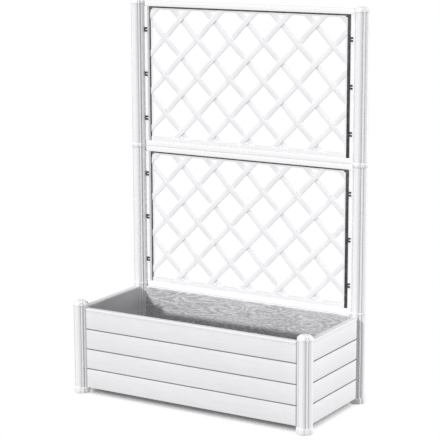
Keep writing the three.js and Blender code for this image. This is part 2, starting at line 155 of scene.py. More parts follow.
def piece(name, shape, finishes, node, crease=35.0, round_off=0.0):
    """Makes a named object from (points, faces), smooth up to the crease angle in degrees.

    finishes is a list of materials, node the CAD node that the object stands for, and round_off
    the width of the rounding that a modifier gives to the sharp edges.
    """
    points, faces = shape
    name = name.replace(",", "").replace(" ", "_")
    mesh = bpy.data.meshes.new(name)
    mesh.from_pydata(np.asarray(points).tolist(), [], faces)
    work = bmesh.new()
    work.from_mesh(mesh)
    bmesh.ops.recalc_face_normals(work, faces=work.faces)
    work.to_mesh(mesh)
    work.free()
    mesh.shade_smooth()
    mesh.set_sharp_from_angle(angle=np.radians(crease))
    for material in finishes:
        mesh.materials.append(material)
    thing = bpy.data.objects.new(name, mesh)
    bpy.context.scene.collection.objects.link(thing)
    if round_off:
        bevel = thing.modifiers.new("Rounded edges", "BEVEL")
        bevel.width = round_off
        bevel.segments = 3
        bevel.limit_method = "ANGLE"
        bevel.angle_limit = np.radians(30)
        bevel.harden_normals = True
    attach(thing, "root")
    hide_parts(node)
    made.append(thing)
    return thing


# %% [markdown]
# ## Shader arithmetic
#
# A material is a graph of nodes. Written out node by node, the sums hide the idea, so a small
# class wraps a socket: adding or multiplying two wrapped sockets makes the Math node between them.


# %% A socket that can be used in sums
class Signal:
    """One output of a material's node tree, with sums that make the nodes for them."""

    def __init__(self, tree, socket):
        self.tree = tree
        self.socket = socket

    def node(self, kind, inputs, output=0, **settings):
        """Any other node: its inputs by name or number, its settings, and the output wanted."""
        return make_node(self.tree, kind, inputs, output, **settings)

    def sum(self, operation, *values):
        """A Math node of that operation on these values, in order."""
        return self.node("ShaderNodeMath", dict(enumerate(values)), operation=operation)

    def __add__(self, other):
        return self.sum("ADD", self, other)

    def __radd__(self, other):
        return self.sum("ADD", other, self)

    def __sub__(self, other):
        return self.sum("SUBTRACT", self, other)

    def __rsub__(self, other):
        return self.sum("SUBTRACT", other, self)

    def __mul__(self, other):
        return self.sum("MULTIPLY", self, other)

    def __truediv__(self, other):
        return self.sum("DIVIDE", self, other)

    def __pow__(self, other):
        return self.sum("POWER", self, other)

    def sine(self):
        """The sine of this value, in radians."""
        return self.sum("SINE", self)

    def size(self):
        """This value without its sign."""
        return self.sum("ABSOLUTE", self)

    def floor(self):
        """This value rounded down."""
        return self.sum("FLOOR", self)

    def between(self, low, high):
        """0 at low, 1 at high, and held there outside them."""
        places = {"Value": self, "From Min": low, "From Max": high}
        return self.node("ShaderNodeMapRange", places, interpolation_type="SMOOTHSTEP")

    def blend(self, first, second):
        """A colour that goes from the first to the second as this value goes from 0 to 1."""
        places = {0: self, 6: first, 7: second}
        return self.node("ShaderNodeMix", places, output=2, data_type="RGBA")

    def raised(self, strength, distance):
        """The surface direction that this value gives when it is read as a height."""
        places = {"Strength": strength, "Distance": distance, "Height": self}
        return self.node("ShaderNodeBump", places, "Normal")


def make_node(tree, kind, inputs, output=0, **settings):
    """A node with its settings and inputs set, returned as the wrapped output."""
    node = tree.nodes.new(kind)
    for key, value in settings.items():
        setattr(node, key, value)
    for place, value in inputs.items():
        if isinstance(value, Signal):
            tree.links.new(value.socket, node.inputs[place])
        else:
            node.inputs[place].default_value = value
    return Signal(tree, node.outputs[output])


def cloudiness(place, scale, detail, roughness=0.5):
    """Noise over a place signal, from 0 to 1."""
    places = {"Vector": place, "Scale": scale, "Detail": detail, "Roughness": roughness}
    return place.node("ShaderNodeTexNoise", places)


def rgb(red, green, blue):
    """A colour from its display values, 0 to 255, as the linear light that shaders use."""
    shown = np.array([red, green, blue]) / 255
    linear = np.where(shown <= 0.04045, shown / 12.92, ((shown + 0.055) / 1.055) ** 2.4)
    return (*linear.tolist(), 1.0)


# %% [markdown]
# ## White resin with a moulded wood grain
#
# The real planter is injection-moulded, and its tool was textured like planed wood: long shallow
# streaks that run along each board. A photograph could be wrapped on it, but it would repeat and
# blur, so the grain is computed. Position is squeezed along the board, which draws fine noise out
# into fibres; the sine of a coarser noise gives the tall arches of a sawn plank. The same value
# drives a little colour, a little gloss and a shallow bump, as one moulded surface would. A grey
# is then painted into the grooves, the corners and the valleys, as painted shade.


# %% Painted shade in the hollows
PAINTED_SHADE_GREY = rgb(96, 96, 99)
GROOVE_SHADE_DEPTHS = (1.2 * MM, 4.5 * MM)  # depths behind a wall's face where it starts and is full
RIM_CLEAR = (14 * MM, 12 * MM)  # below a panel's top, where the painted shade of the grooves ends
EDGE_CLEAR = (3 * MM, 5 * MM)  # above a panel's bottom, where it begins
CORNER_SHADE_REACH = (34 * MM, 27 * MM)  # distances from a post's axis where it starts and is full
VALLEY_LARGER = 19.6 * MM
VALLEY_SMALLER = 14.2 * MM
VALLEY_RADIUS = 3.9 * MM


def painted_wall_shade(axis, face, along, post_axis):
    """Painted shade on a wall: in its grooves, more with depth, and in the corners beside the
    posts.
    """

    def share(split):
        deep = (face - split[axis].size()).between(*GROOVE_SHADE_DEPTHS)
        below_rim = 1.0 - split["Z"].between(*(PANEL_TOP - drop for drop in RIM_CLEAR))
        above_edge = split["Z"].between(*(PANEL_BOTTOM + rise for rise in EDGE_CLEAR))
        corner = split[along].size().between(*(post_axis - reach for reach in CORNER_SHADE_REACH))
        groove = deep * below_rim * above_edge * 0.85
        return groove.sum("MAXIMUM", groove, corner * 0.6)

    return share


def painted_valley_shade(split):
    """Painted shade in the valleys beside a post's beads.

    A valley lies where the larger and the smaller distance from the post's axis, along the two
    level axes, have their named values; the painted shade fades with the distance from that line.
    """
    u = (split["X"].size() - POST_X).size()
    v = (split["Y"].size() - POST_Y).size()
    across = u.sum("MAXIMUM", u, v) - VALLEY_LARGER
    beside = u.sum("MINIMUM", u, v) - VALLEY_SMALLER
    distance = (across**2.0 + beside**2.0) ** 0.5
    return (1.0 - distance.between(0.0, VALLEY_RADIUS)) * 0.6


# %% The resin finish
PLANED = {"draw": 0.06, "ring_count": 110.0, "fibre_scale": 420.0, "fibre_share": 0.45}
ROUGH = {"draw": 0.2, "ring_count": 150.0, "fibre_scale": 380.0, "fibre_share": 0.6}
ARCH_SCALE = 14.0
SPECKLE_SCALE = 900.0
CLOUD_SCALE = 5.0
BOARD_SHIFT = 1.37  # how far the grain of each board is moved along from the board below


def resin(name, along, colours, depth, contrast, boards=False, cut=PLANED, shade_painter=None):
    """Moulded resin with its grain along one axis, from a pale to a streak colour.

    depth is the strength of the bump and contrast that of the colours; boards tells whether each
    board of a wall has a grain of its own. cut says how the grain is drawn out, how dense its
    arches and fibres are, and the share of the fibres in it. grime is a function that turns the
    three place signals into a share of painted shade.
    """
    material = bpy.data.materials.new(name)
    material.use_nodes = True
    tree = material.node_tree
    shader = tree.nodes["Principled BSDF"]
    place = make_node(tree, "ShaderNodeTexCoord", {}, "Object")
    split = {axis: place.node("ShaderNodeSeparateXYZ", {0: place}, axis) for axis in "XYZ"}
    lengthwise = split[along]
    if boards:
        board = ((split["Z"] - FIRST_GROOVE) / GROOVE_PITCH).floor()
        lengthwise = lengthwise + board * BOARD_SHIFT
    others = [axis for axis in "XYZ" if axis != along]
    squeezed = place.node(
        "ShaderNodeCombineXYZ",
        {along: lengthwise * cut["draw"], others[0]: split[others[0]], others[1]: split[others[1]]},
    )
    arches = cloudiness(squeezed, ARCH_SCALE, 2.0, 0.45)
    bands = ((arches * cut["ring_count"]).sine() + 1.0) * 0.5
    fibres = cloudiness(squeezed, cut["fibre_scale"], 3.0, 0.6)
    speckle = cloudiness(place, SPECKLE_SCALE, 2.0, 0.5)
    clouds = cloudiness(place, CLOUD_SCALE, 3.0, 0.55)
    grain = bands * (1.0 - cut["fibre_share"]) + fibres.between(0.3, 0.7) * cut["fibre_share"]
    amount = grain * contrast + clouds.between(0.35, 0.75) * 0.18
    colour = amount.blend(*colours)
    # painted shade: a grey mixed into the colour where the mask finds a groove, corner or valley
    if shade_painter:
        colour = shade_painter(split).blend(colour, PAINTED_SHADE_GREY)
    tree.links.new(colour.socket, shader.inputs["Base Color"])
    gloss = 0.40 + grain * 0.10 + speckle * 0.08
    tree.links.new(gloss.socket, shader.inputs["Roughness"])
    bump = (grain + speckle * 0.25).raised(depth, 0.6 * MM)
    tree.links.new(bump.socket, shader.inputs["Normal"])
    shader.inputs["Specular IOR Level"].default_value = 0.4
    return material


PANEL_WHITE = (rgb(232, 232, 234), rgb(218, 218, 221))
POST_WHITE = (rgb(240, 240, 242), rgb(232, 232, 234))
FRAME_WHITE = (rgb(243, 243, 244), rgb(234, 234, 236))
LATTICE_WHITE = (rgb(237, 237, 239), rgb(227, 227, 230))
BOLD_INNER = (rgb(233, 233, 234), rgb(158, 158, 160))
PLAIN_INNER = (rgb(232, 232, 234), rgb(218, 218, 220))
# the floor's grey is painted shade: darker than the white resin so that the inside of the box stays
# dark
FLOOR_SHADE_GREY = (rgb(172, 172, 174), rgb(150, 150, 153))
# painted shade for the grooves and the corners of the long and the short walls
long_wall_shade = painted_wall_shade("Y", POST_Y + PANEL_HALF, "X", POST_X)
short_wall_shade = painted_wall_shade("X", POST_X + PANEL_HALF, "Y", POST_Y)
board_look = {"depth": 0.2, "contrast": 0.35, "boards": True}
name = "Panel resin, grain along the box"
panel_x = resin(name, "X", PANEL_WHITE, **board_look, shade_painter=long_wall_shade)
name = "Panel resin, grain across the box"
panel_y = resin(name, "Y", PANEL_WHITE, **board_look, shade_painter=short_wall_shade)
# the grey in the posts' valleys beside the beads is painted shade
post_z = resin("Post resin, upright grain", "Z", POST_WHITE, 0.15, 0.3, shade_painter=painted_valley_shade)
rail_x = resin("Rail resin, grain along the rail", "X", FRAME_WHITE, 0.15, 0.3)
stile_z = resin("Stile resin, upright grain", "Z", FRAME_WHITE, 0.15, 0.3)
lath_white = resin("Lattice resin", "Z", LATTICE_WHITE, 0.15, 0.4)
inner_x = resin("Inner face, bold grain", "X", BOLD_INNER, 0.8, 1.0, True, ROUGH)
inner_y = resin("Inner face, plain", "Y", PLAIN_INNER, 0.2, 0.5, True)
floor_shaded_resin = resin("Floor of the box", "X", FLOOR_SHADE_GREY, 0.2, 0.5)
print("resin finishes made")


# %% [markdown]
# ## Dark plastic, and strips of painted shadow
#
# Thin dark lines frame each lattice, where the gaps beside and above it lie in shade. They are
# made here as strips of dull dark plastic that seat the lattice, a painted shadow in a slightly
# uneven grey.


# %% The dark plastic finish
def plastic_and_shadow_finish(name, dark, dusty):
    """Dull dark finish for the plastic clips and for the painted shadow of the strips: two greys
    mixed by a cloudy noise, with a fine moulded texture.
    """
    material = bpy.data.materials.new(name)
    material.use_nodes = True
    tree = material.node_tree
    shader = tree.nodes["Principled BSDF"]
    place = make_node(tree, "ShaderNodeTexCoord", {}, "Object")
    dust = cloudiness(place, 60.0, 4.0)
    pores = cloudiness(place, 1500.0, 2.0)
    tree.links.new(dust.between(0.35, 0.8).blend(dark, dusty).socket, shader.inputs["Base Color"])
    tree.links.new((0.5 + pores * 0.2).socket, shader.inputs["Roughness"])
    tree.links.new(pores.raised(0.3, 0.3 * MM).socket, shader.inputs["Normal"])
    return material


# the strips' dark grey is painted shadow: it stands where the gaps around each lattice lie in shade
strip_painted_shadow = plastic_and_shadow_finish("Dark strip plastic", rgb(48, 49, 51), rgb(84, 85, 88))
clip_plastic = plastic_and_shadow_finish("Dark clip plastic", rgb(38, 39, 41), rgb(70, 71, 73))

# %% [markdown]
# ## The clover section of the posts
#
# Seen from above, a post has four round lobes with a slim bead in each valley between them. Each
# is an arc of a circle, so the outline is computed exactly: where a lobe's circle meets a bead's
# circle, one arc ends and the next begins. Growing every radius by the same amount moves the
# outline outwards evenly, which gives the feet, the rings and the caps from the same function.

# %% Outline of a post
LOBE_CENTRE = 12 * MM
LOBE_RADIUS = 17 * MM
BEAD_CENTRE = 17 * MM
BEAD_RADIUS = 4 * MM


def clover(grow=0.0, lobe_steps=14, bead_steps=8):
    """Clover outline grown outwards, counter-clockwise, as points (x, y).

    The valley point V lies on both circles: with d the distance between their centres, it is
    (d * d + R * R - r * r) / (2 * d) along the line of centres and the rest of R sideways.
    """
    lobe, bead = LOBE_RADIUS + grow, BEAD_RADIUS + grow
    line = np.array([BEAD_CENTRE - LOBE_CENTRE, BEAD_CENTRE])
    distance = np.linalg.norm(line)
    unit = line / distance
    along = (distance**2 + lobe**2 - bead**2) / (2 * distance)
    sideways = np.sqrt(lobe**2 - along**2)
    valley = unit * along + np.array([unit[1], -unit[0]]) * sideways
    half_lobe = np.arctan2(valley[1], valley[0])
    corner = valley - line
    half_bead = np.pi / 4 - np.arctan2(corner[1], corner[0])
    sweep = np.linspace(-half_lobe, half_lobe, lobe_steps, endpoint=False)
    lobe_arc = np.stack([LOBE_CENTRE + lobe * np.cos(sweep), lobe * np.sin(sweep)], axis=1)
    sweep = np.pi / 4 + np.linspace(-half_bead, half_bead, bead_steps, endpoint=False)
    bead_arc = BEAD_CENTRE + bead * np.stack([np.cos(sweep), np.sin(sweep)], axis=1)
    quarter = np.concatenate([lobe_arc, bead_arc])
    turns = [np.linalg.matrix_power(np.array([[0, 1], [-1, 0]]), n) for n in range(4)]
    return np.concatenate([quarter @ turn for turn in turns])


def upright(levels, x, y):
    """Clover rings at (height, growth, scale) levels, stacked on a post axis."""
    rings = []
    for height, growth, scale in levels:
        outline = clover(growth) * scale
        rings.append(np.column_stack([outline + (x, y), np.full(len(outline), height)]))
    return skin(rings)


print("post section reaches", round(float(clover()[:, 0].max()) * 1000, 2), "mm")

# %% [markdown]
# ## Posts and feet
#
# Each post is a plain length of the clover section with a small round at its ends, so that a thin
# shadow line shows where one length meets the next ring. A foot is a shallow cup of the same
# outline, larger by a few millimetres and well rounded below, as the feet in the photograph are.

# %% Box posts, middle and upper posts
END_ROUND = 0.6 * MM


def post(bottom, top, x, y):
    """One length of post, its end edges eased by a small round.

    A second ring close to each round keeps the smooth shading of the round out of the long wall.
    """
    levels = [(bottom, -END_ROUND, 1), (bottom + END_ROUND, 0, 1), (bottom + 3 * END_ROUND, 0, 1)]
    levels += [(top - 3 * END_ROUND, 0, 1), (top - END_ROUND, 0, 1), (top, -END_ROUND, 1)]
    return upright(levels, x, y)


for side_name, side in SIDES.items():
    for end_name, end in ENDS.items():
        shape = post(BOX_POST_BOTTOM, BOX_POST_TOP, side * POST_X, end * POST_Y)
        node = f"{end_name}_{side_name}_box_post"
        piece(f"Box post, {end_name} {side_name}", shape, [post_z], node, crease=50)
    shape = post(COLLAR_TOP, RING_BOTTOM, side * POST_X, POST_Y)
    piece(f"Middle post, {side_name}", shape, [post_z], f"rear_{side_name}_middle_post", crease=50)
    shape = post(RING_TOP, REAR_POST_TOP, side * POST_X, POST_Y)
    piece(f"Upper post, {side_name}", shape, [post_z], f"rear_{side_name}_upper_post", crease=50)

# %% Feet
FOOT_HEIGHT = 22 * MM
FOOT_FLARE = 3 * MM
FOOT_ROUND = 4 * MM
FOOT_LIP = 1.5 * MM


def foot(x, y):
    """A lobed cup: a quarter-round below, a straight side that leans in, and an eased top edge."""
    levels = []
    for angle in np.linspace(0, np.pi / 2, 7):
        height = FOOT_ROUND * (1 - np.cos(angle))
        levels.append((height, FOOT_FLARE - FOOT_ROUND * (1 - np.sin(angle)), 1))
    for angle in np.linspace(0, np.pi / 2, 5):
        height = FOOT_HEIGHT - FOOT_LIP * (1 - np.sin(angle))
        levels.append((height, FOOT_FLARE - FOOT_LIP * (1 - np.cos(angle)), 1))
    return upright(levels, x, y)


for side_name, side in SIDES.items():
    for end_name, end in ENDS.items():
        shape = foot(side * POST_X, end * POST_Y)
        node = f"{end_name}_{side_name}_foot"
        piece(f"Foot, {end_name} {side_name}", shape, [post_z], node, crease=60)
print(len(made), "posts and feet")

# %% [markdown]
# ## Caps, collars and rings
#
# A cap is a dome with the clover's lobes running up into it and fading out near the top. The dome
# is a stack of rings whose size follows nearly a quarter of an ellipse. The rings between two
# lengths of post stand a little proud of them, with rounded edges that catch the light.

# %% Dome caps
CAP_FLARE = 1 * MM
CAP_SKIRT = 3 * MM
CAP_RISE = 17 * MM
CAP_EASE = 0.7 * MM
CAP_ROUNDNESS = 0.9  # power of the cosine; below 1 the dome is fuller than an ellipse


def dome(seat, x, y):
    """A cap from its seat: eased lower edge, straight skirt, then rings on a quarter ellipse."""
    seat = seat + AIR
    levels = [(seat, CAP_FLARE - CAP_EASE, 1), (seat + CAP_EASE, CAP_FLARE, 1)]
    shoulder = seat + CAP_SKIRT - AIR
    for angle in np.linspace(0, np.pi / 2, 15)[:-1]:
        height = shoulder + CAP_RISE * np.sin(angle)
        levels.append((height, CAP_FLARE, np.cos(angle) ** CAP_ROUNDNESS))
    levels.append((shoulder + CAP_RISE * 0.9995, CAP_FLARE, 0.03))  # the small flat at the top
    return upright(levels, x, y)


for side_name, side in SIDES.items():
    shape = dome(BOX_POST_TOP, side * POST_X, -POST_Y)
    piece(f"Front cap, {side_name}", shape, [post_z], f"front_{side_name}_cap", crease=60)
    shape = dome(REAR_POST_TOP, side * POST_X, POST_Y)
    piece(f"Top cap, {side_name}", shape, [post_z], f"rear_{side_name}_top_cap", crease=60)


# %% Collars at the rim of the box and rings where the tiers meet
RING_EASE = 0.8 * MM


def ring(bottom, top, flare, x, y):
    """A proud ring between two posts, its edges rounded."""
    levels = [(bottom + AIR, flare - RING_EASE, 1), (bottom + AIR + RING_EASE, flare, 1)]
    levels += [(top - AIR - RING_EASE, flare, 1), (top - AIR, flare - RING_EASE, 1)]
    return upright(levels, x, y)


for side_name, side in SIDES.items():
    shape = ring(BOX_POST_TOP, COLLAR_TOP, 1.2 * MM, side * POST_X, POST_Y)
    piece(f"Collar, {side_name}", shape, [post_z], f"rear_{side_name}_collar", crease=60)
    shape = ring(RING_BOTTOM, RING_TOP, 0.9 * MM, side * POST_X, POST_Y)
    piece(f"Middle ring, {side_name}", shape, [post_z], f"rear_{side_name}_middle_ring", crease=60)
print(len(made), "pieces so far")

# %% [markdown]
# ## The slatted panels
#
# Each wall of the box is one moulded panel that looks like stacked boards: narrowing grooves with
# rounded lips part the boards, and a rounded rim thickens the top edge over a finer groove. The
# upright section is drawn once, outer side towards +a, and carried along the wall. The faces that
# look into the box get their own finish, because the photograph shows a much bolder grain there.

# %% Section of a panel
GROOVE_HALF = 2.7 * MM
GROOVE_DEPTH = 5.5 * MM
GROOVE_FLOOR_HALF = 1 * MM
FINE_GROOVE_DEPTH = 1.6 * MM
FINE_GROOVE = (3.4 * MM, 2.4 * MM, 1.2 * MM)  # its lip and both ends of its floor, below the rim
RIM_FLARE = 1.5 * MM
RIM_HEIGHT = 9 * MM


def panel_section():
    """Closed outline (outwards, up) with three grooves and a rim, its corners rounded."""
    corners = [(-PANEL_HALF, PANEL_BOTTOM), (PANEL_HALF, PANEL_BOTTOM)]
    radii = [1.5 * MM, 2.2 * MM]
    for number in range(3):
        middle = FIRST_GROOVE + number * GROOVE_PITCH
        corners += [
            (PANEL_HALF, middle - GROOVE_HALF),
            (PANEL_HALF - GROOVE_DEPTH, middle - GROOVE_FLOOR_HALF),
            (PANEL_HALF - GROOVE_DEPTH, middle + GROOVE_FLOOR_HALF),
            (PANEL_HALF, middle + GROOVE_HALF),
        ]
        radii += [1.3 * MM, 0.3 * MM, 0.3 * MM, 1.3 * MM]
    neck = PANEL_TOP - RIM_HEIGHT
    rim = PANEL_HALF + RIM_FLARE
    lip, floor_start, floor_end = [neck - drop for drop in FINE_GROOVE]
    floor_face = PANEL_HALF - FINE_GROOVE_DEPTH
    corners += [(PANEL_HALF, lip), (floor_face, floor_start), (floor_face, floor_end)]
    corners += [(rim, neck), (rim, PANEL_TOP), (-rim, PANEL_TOP), (-rim, neck)]
    corners += [(-PANEL_HALF, floor_end)]
    radii += [n * MM for n in (0.6, 0.3, 0.3, 0.8, 3.5, 3.5, 0.8, 0.6)]
    return rounded(corners, radii, 4)


def inner_faces(thing, outward):
    """Gives the second finish to the faces that look into the box."""
    mesh = thing.data
    normals = np.empty(len(mesh.polygons) * 3, np.float32)
    mesh.polygons.foreach_get("normal", normals)
    facing = normals.reshape(-1, 3) @ np.array(outward, np.float32)
    mesh.polygons.foreach_set("material_index", (facing < -0.9).astype(np.int32))


def wall_rings(section, post_axis, outward, along, origin):
    """Rings of a wall whose hollow ends follow the round lobes of the posts.

    Each end closes by narrowing the section from full width to nothing. At the offset a from the
    wall's middle, the lobe of radius R reaches sqrt(R * R - a * a) beyond its own centre.
    """
    shares = np.linspace(1.0, 0.01, 9)
    ends = [(-1, share) for share in shares[::-1]] + [(1, share) for share in shares]
    rings = []
    for end, share in ends:
        across = section[:, :1] * share
        lobe = np.sqrt((LOBE_RADIUS + AIR) ** 2 - across**2)
        reach = end * (post_axis - LOBE_CENTRE - lobe)
        flat = across * np.array(outward, float) + section[:, 1:] * np.array((0, 0, 1.0))
        rings.append(flat + reach * np.array(along, float) + np.array(origin, float))
    return rings


section = panel_section()
for end_name, end in ENDS.items():
    rings = wall_rings(section, POST_X, (0, end, 0), (1, 0, 0), (0, end * POST_Y, 0))
    name = f"{end_name.title()} panel"
    wall = piece(name, skin(rings), [panel_x, inner_x], f"{end_name}_panel", crease=40)
    inner_faces(wall, (0, end, 0))
for side_name, side in SIDES.items():
    rings = wall_rings(section, POST_Y, (side, 0, 0), (0, 1, 0), (side * POST_X, 0, 0))
    name = f"{side_name.title()} side panel"
    wall = piece(name, skin(rings), [panel_y, inner_y], f"{side_name}_side_panel", crease=40)
    inner_faces(wall, (side, 0, 0))
print("panel section has", len(section), "points")

# %% [markdown]
# ## The floor of the box
#
# The floor lies deep inside and shows only from above, as a flat tray with drain holes. The CAD
# solid already has that exact shape, so it stays and only takes a finish: a grey darker than the
# white resin, painted shade that keeps the inside of the box dark.

# %% Floor panel finish
floor_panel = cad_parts["floor_panel"]
floor_panel.data.materials.clear()
floor_panel.data.materials.append(floor_shaded_resin)

# %% [markdown]
# ## Rails and stiles of the trellis
#
# Each tier of the trellis is a flat frame between the rear posts. Rails and stiles are bars whose
# front edges are rounded; a stile also slopes back towards the lattice along its inner edge, so
# the light draws a soft line beside the dark strip.

# %% Frame of both tiers
FRAME_FRONT = 200 * MM
FRAME_BACK = 216 * MM
RAIL_REACH = POST_X - 31 * MM  # half of a rail's length
STILE_STEPS = ((29.4, 0), (41.5, 0), (48, 8), (48, 16), (29.4, 16))  # mm in from post, mm back
tiers = {"lower": PANEL_TOP + AIR, "upper": PANEL_TOP + AIR + TIER_HEIGHT}


def rail(bottom, top):
    """A bar along x between the posts, with rounded front and back edges."""
    corners = [(FRAME_FRONT, bottom), (FRAME_BACK, bottom), (FRAME_BACK, top), (FRAME_FRONT, top)]
    outline = rounded(corners, 1.8 * MM, 4)
    return skin(carried(outline, [-RAIL_REACH, RAIL_REACH], (0, 1, 0), (0, 0, 1), (1, 0, 0)))


def stile(side, bottom, top):
    """An upright bar: flat face, a slope that falls back towards the lattice, and a flat back."""
    corners = []
    for inset, back in STILE_STEPS:
        corners.append((side * (POST_X - inset * MM), FRAME_FRONT + back * MM))
    outline = rounded(corners, [n * MM for n in (0.4, 1.6, 1.0, 1.2, 0.4)], 4)
    return skin(carried(outline, [bottom, top], (1, 0, 0), (0, 1, 0), (0, 0, 1)))


for tier, bottom in tiers.items():
    top = bottom + TIER_HEIGHT
    shape = rail(bottom, bottom + RAIL_HEIGHT)
    piece(f"{tier.title()} tier, bottom rail", shape, [rail_x], f"{tier}_bottom_rail", crease=50)
    shape = rail(top - RAIL_HEIGHT, top - AIR)
    piece(f"{tier.title()} tier, top rail", shape, [rail_x], f"{tier}_top_rail", crease=50)
    for side_name, side in SIDES.items():
        shape = stile(side, bottom + RAIL_HEIGHT + AIR, top - RAIL_HEIGHT - AIR)
        node = f"{tier}_{side_name}_stile"
        piece(f"{tier.title()} tier, {side_name} stile", shape, [stile_z], node, crease=50)

# %% [markdown]
# ## The woven lattice
#
# The lattice is a moulding that imitates thin laths woven over and under each other at right
# angles, turned by 45 degrees. Flat bars in two layers would lose the weave, so each lath is a
# rounded section carried along its line while a cosine moves it forwards and back: at each
# crossing the two laths are at opposite ends of that swing. Every line of points along a lath is
# cut where it meets the border, which mitres the ends neatly.

# %% Laths that weave
LATTICE_LEFT = -415.4 * MM
LATTICE_RIGHT = 409.4 * MM
LATTICE_FRONT = FRAME_FRONT + 4 * MM
LATTICE_BACK = LATTICE_FRONT + 8 * MM
PITCH = 141.4 * MM
LATH_WIDTH = 19.3 * MM
LATH_THICK = 3.8 * MM
SWING = (LATTICE_BACK - LATTICE_FRONT - LATH_THICK) / 2
BOTTOM_BAR = 15 * MM
SIDE_BAR = 8 * MM
TOP_BAR = 6 * MM
TOP_STRIP = 5 * MM
SHORTEST_LATH = 12 * MM
LATH_STATIONS = 61
LATHS = range(-7, 7)  # on each lean; those that miss the opening are left out
BAR_THICK = 5 * MM
BAR_OVERLAP = 1 * MM  # how far the laths reach into the bottom bar


def lath(lean, number, low, high, middle):
    """One lath of the weave as (points, faces), or None where its line misses the opening.

    Along a lath, u = (x + lean * z) / sqrt(2) runs lengthwise and v = (x - lean * z) / sqrt(2)
    sideways, so x = (u + v) / sqrt(2) and lean * z = (u - v) / sqrt(2). The depth is
    lean * swing * cos(pi * (number + u / spacing - 1/2)), so crossings alternate over and under.
    """
    half_width, half_thick = LATH_WIDTH / 2, LATH_THICK / 2
    corners = [(-half_width, -half_thick), (half_width, -half_thick)]
    corners += [(half_width, half_thick), (-half_width, half_thick)]
    outline = rounded(corners, 1.3 * MM, 3)
    root = np.sqrt(2)
    offset = (number + 0.5) * PITCH / root + outline[:, 0]
    z_ends = sorted([lean * (low - middle), lean * (high - middle)])
    start = np.maximum(LATTICE_LEFT * root - offset, z_ends[0] * root + offset)
    stop = np.minimum(LATTICE_RIGHT * root - offset, z_ends[1] * root + offset)
    if (stop - start).min() < SHORTEST_LATH:
        return None
    share = np.linspace(0, 1, LATH_STATIONS)[:, None]
    lengthwise = start + (stop - start) * share
    x = (lengthwise + offset) / root
    z = lean * (lengthwise - offset) / root
    phase = np.pi * (number + lengthwise * root / PITCH - 0.5)
    y = (LATTICE_FRONT + LATTICE_BACK) / 2 + lean * SWING * np.cos(phase) + outline[:, 1]
    return skin(np.stack([x, y, z + middle], axis=-1))


def bar(x_range, y_range, z_range, radius):
    """A straight bar that fills three ranges, with its long edges rounded."""
    if x_range[1] - x_range[0] > z_range[1] - z_range[0]:
        ends = [(y_range[0], z_range[0]), (y_range[1], z_range[0])]
        ends += [(y_range[1], z_range[1]), (y_range[0], z_range[1])]
        return skin(carried(rounded(ends, radius, 3), x_range, (0, 1, 0), (0, 0, 1), (1, 0, 0)))
    ends = [(x_range[0], y_range[0]), (x_range[1], y_range[0])]
    ends += [(x_range[1], y_range[1]), (x_range[0], y_range[1])]
    return skin(carried(rounded(ends, radius, 3), z_range, (1, 0, 0), (0, 1, 0), (0, 0, 1)))


# %% Lattices of both tiers
def lattice(low, high):
    """Border bars and every lath of one lattice, as one shape."""
    middle = (low + high) / 2
    back = (LATTICE_BACK - BAR_THICK, LATTICE_BACK)
    sides = [(LATTICE_LEFT, LATTICE_LEFT + SIDE_BAR), (LATTICE_RIGHT - SIDE_BAR, LATTICE_RIGHT)]
    shapes = [bar(x_range, back, (low, high), 0.8 * MM) for x_range in sides]
    across = (LATTICE_LEFT, LATTICE_RIGHT)
    shapes.append(bar(across, back, (high - TOP_BAR, high), 0.8 * MM))
    shapes.append(bar(across, (LATTICE_FRONT, LATTICE_BACK), (low, low + BOTTOM_BAR), 1.2 * MM))
    laths = [
        lath(lean, number, low + BOTTOM_BAR - BAR_OVERLAP, high, middle)
        for lean in (-1, 1)
        for number in LATHS
    ]
    return together(*shapes, *[shape for shape in laths if shape])


for tier, bottom in tiers.items():
    low = bottom + RAIL_HEIGHT + AIR
    high = bottom + TIER_HEIGHT - RAIL_HEIGHT - AIR - TOP_STRIP - AIR
    name = f"{tier.title()} lattice"
    woven = piece(name, lattice(low, high), [lath_white], f"{tier}_lattice", crease=40)
    print(woven.name, "has", len(woven.data.polygons), "faces")

# %% [markdown]
# ## Dark strips and clips
#
# The strips stand at the left, right and top of each lattice, with rounded corners; their dark
# finish is painted shadow of the gaps there. The clips are small plates with two prongs that grip
# the stile; three sit on each stile.

# %% Strips of painted shadow beside and above the lattice
STRIP_FRONT = FRAME_FRONT + 4 * MM
STRIP_BACK = FRAME_FRONT + 12 * MM
OPENING_HALF = POST_X - 48.3 * MM  # from the middle to the inner edge of a stile, less the air
STRIP_EASE = 0.6 * MM


def strip(x_range, z_range, radius):
    """A thin upright plate with rounded corners, from the strips' front to their back."""
    corners = [(x_range[0], z_range[0]), (x_range[1], z_range[0])]
    corners += [(x_range[1], z_range[1]), (x_range[0], z_range[1])]
    outline = rounded(corners, radius, 6)
    stations = [STRIP_FRONT, STRIP_FRONT + STRIP_EASE, STRIP_BACK]
    rings = carried(outline, stations, (1, 0, 0), (0, 0, 1), (0, 1, 0))
    middle = rings[0].mean(axis=0)
    size = np.ptp(rings[0], axis=0)
    shrink = 1 - 2 * STRIP_EASE / np.where(size > 0, size, 1)
    rings[0] = middle + (rings[0] - middle) * shrink
    return skin(rings)


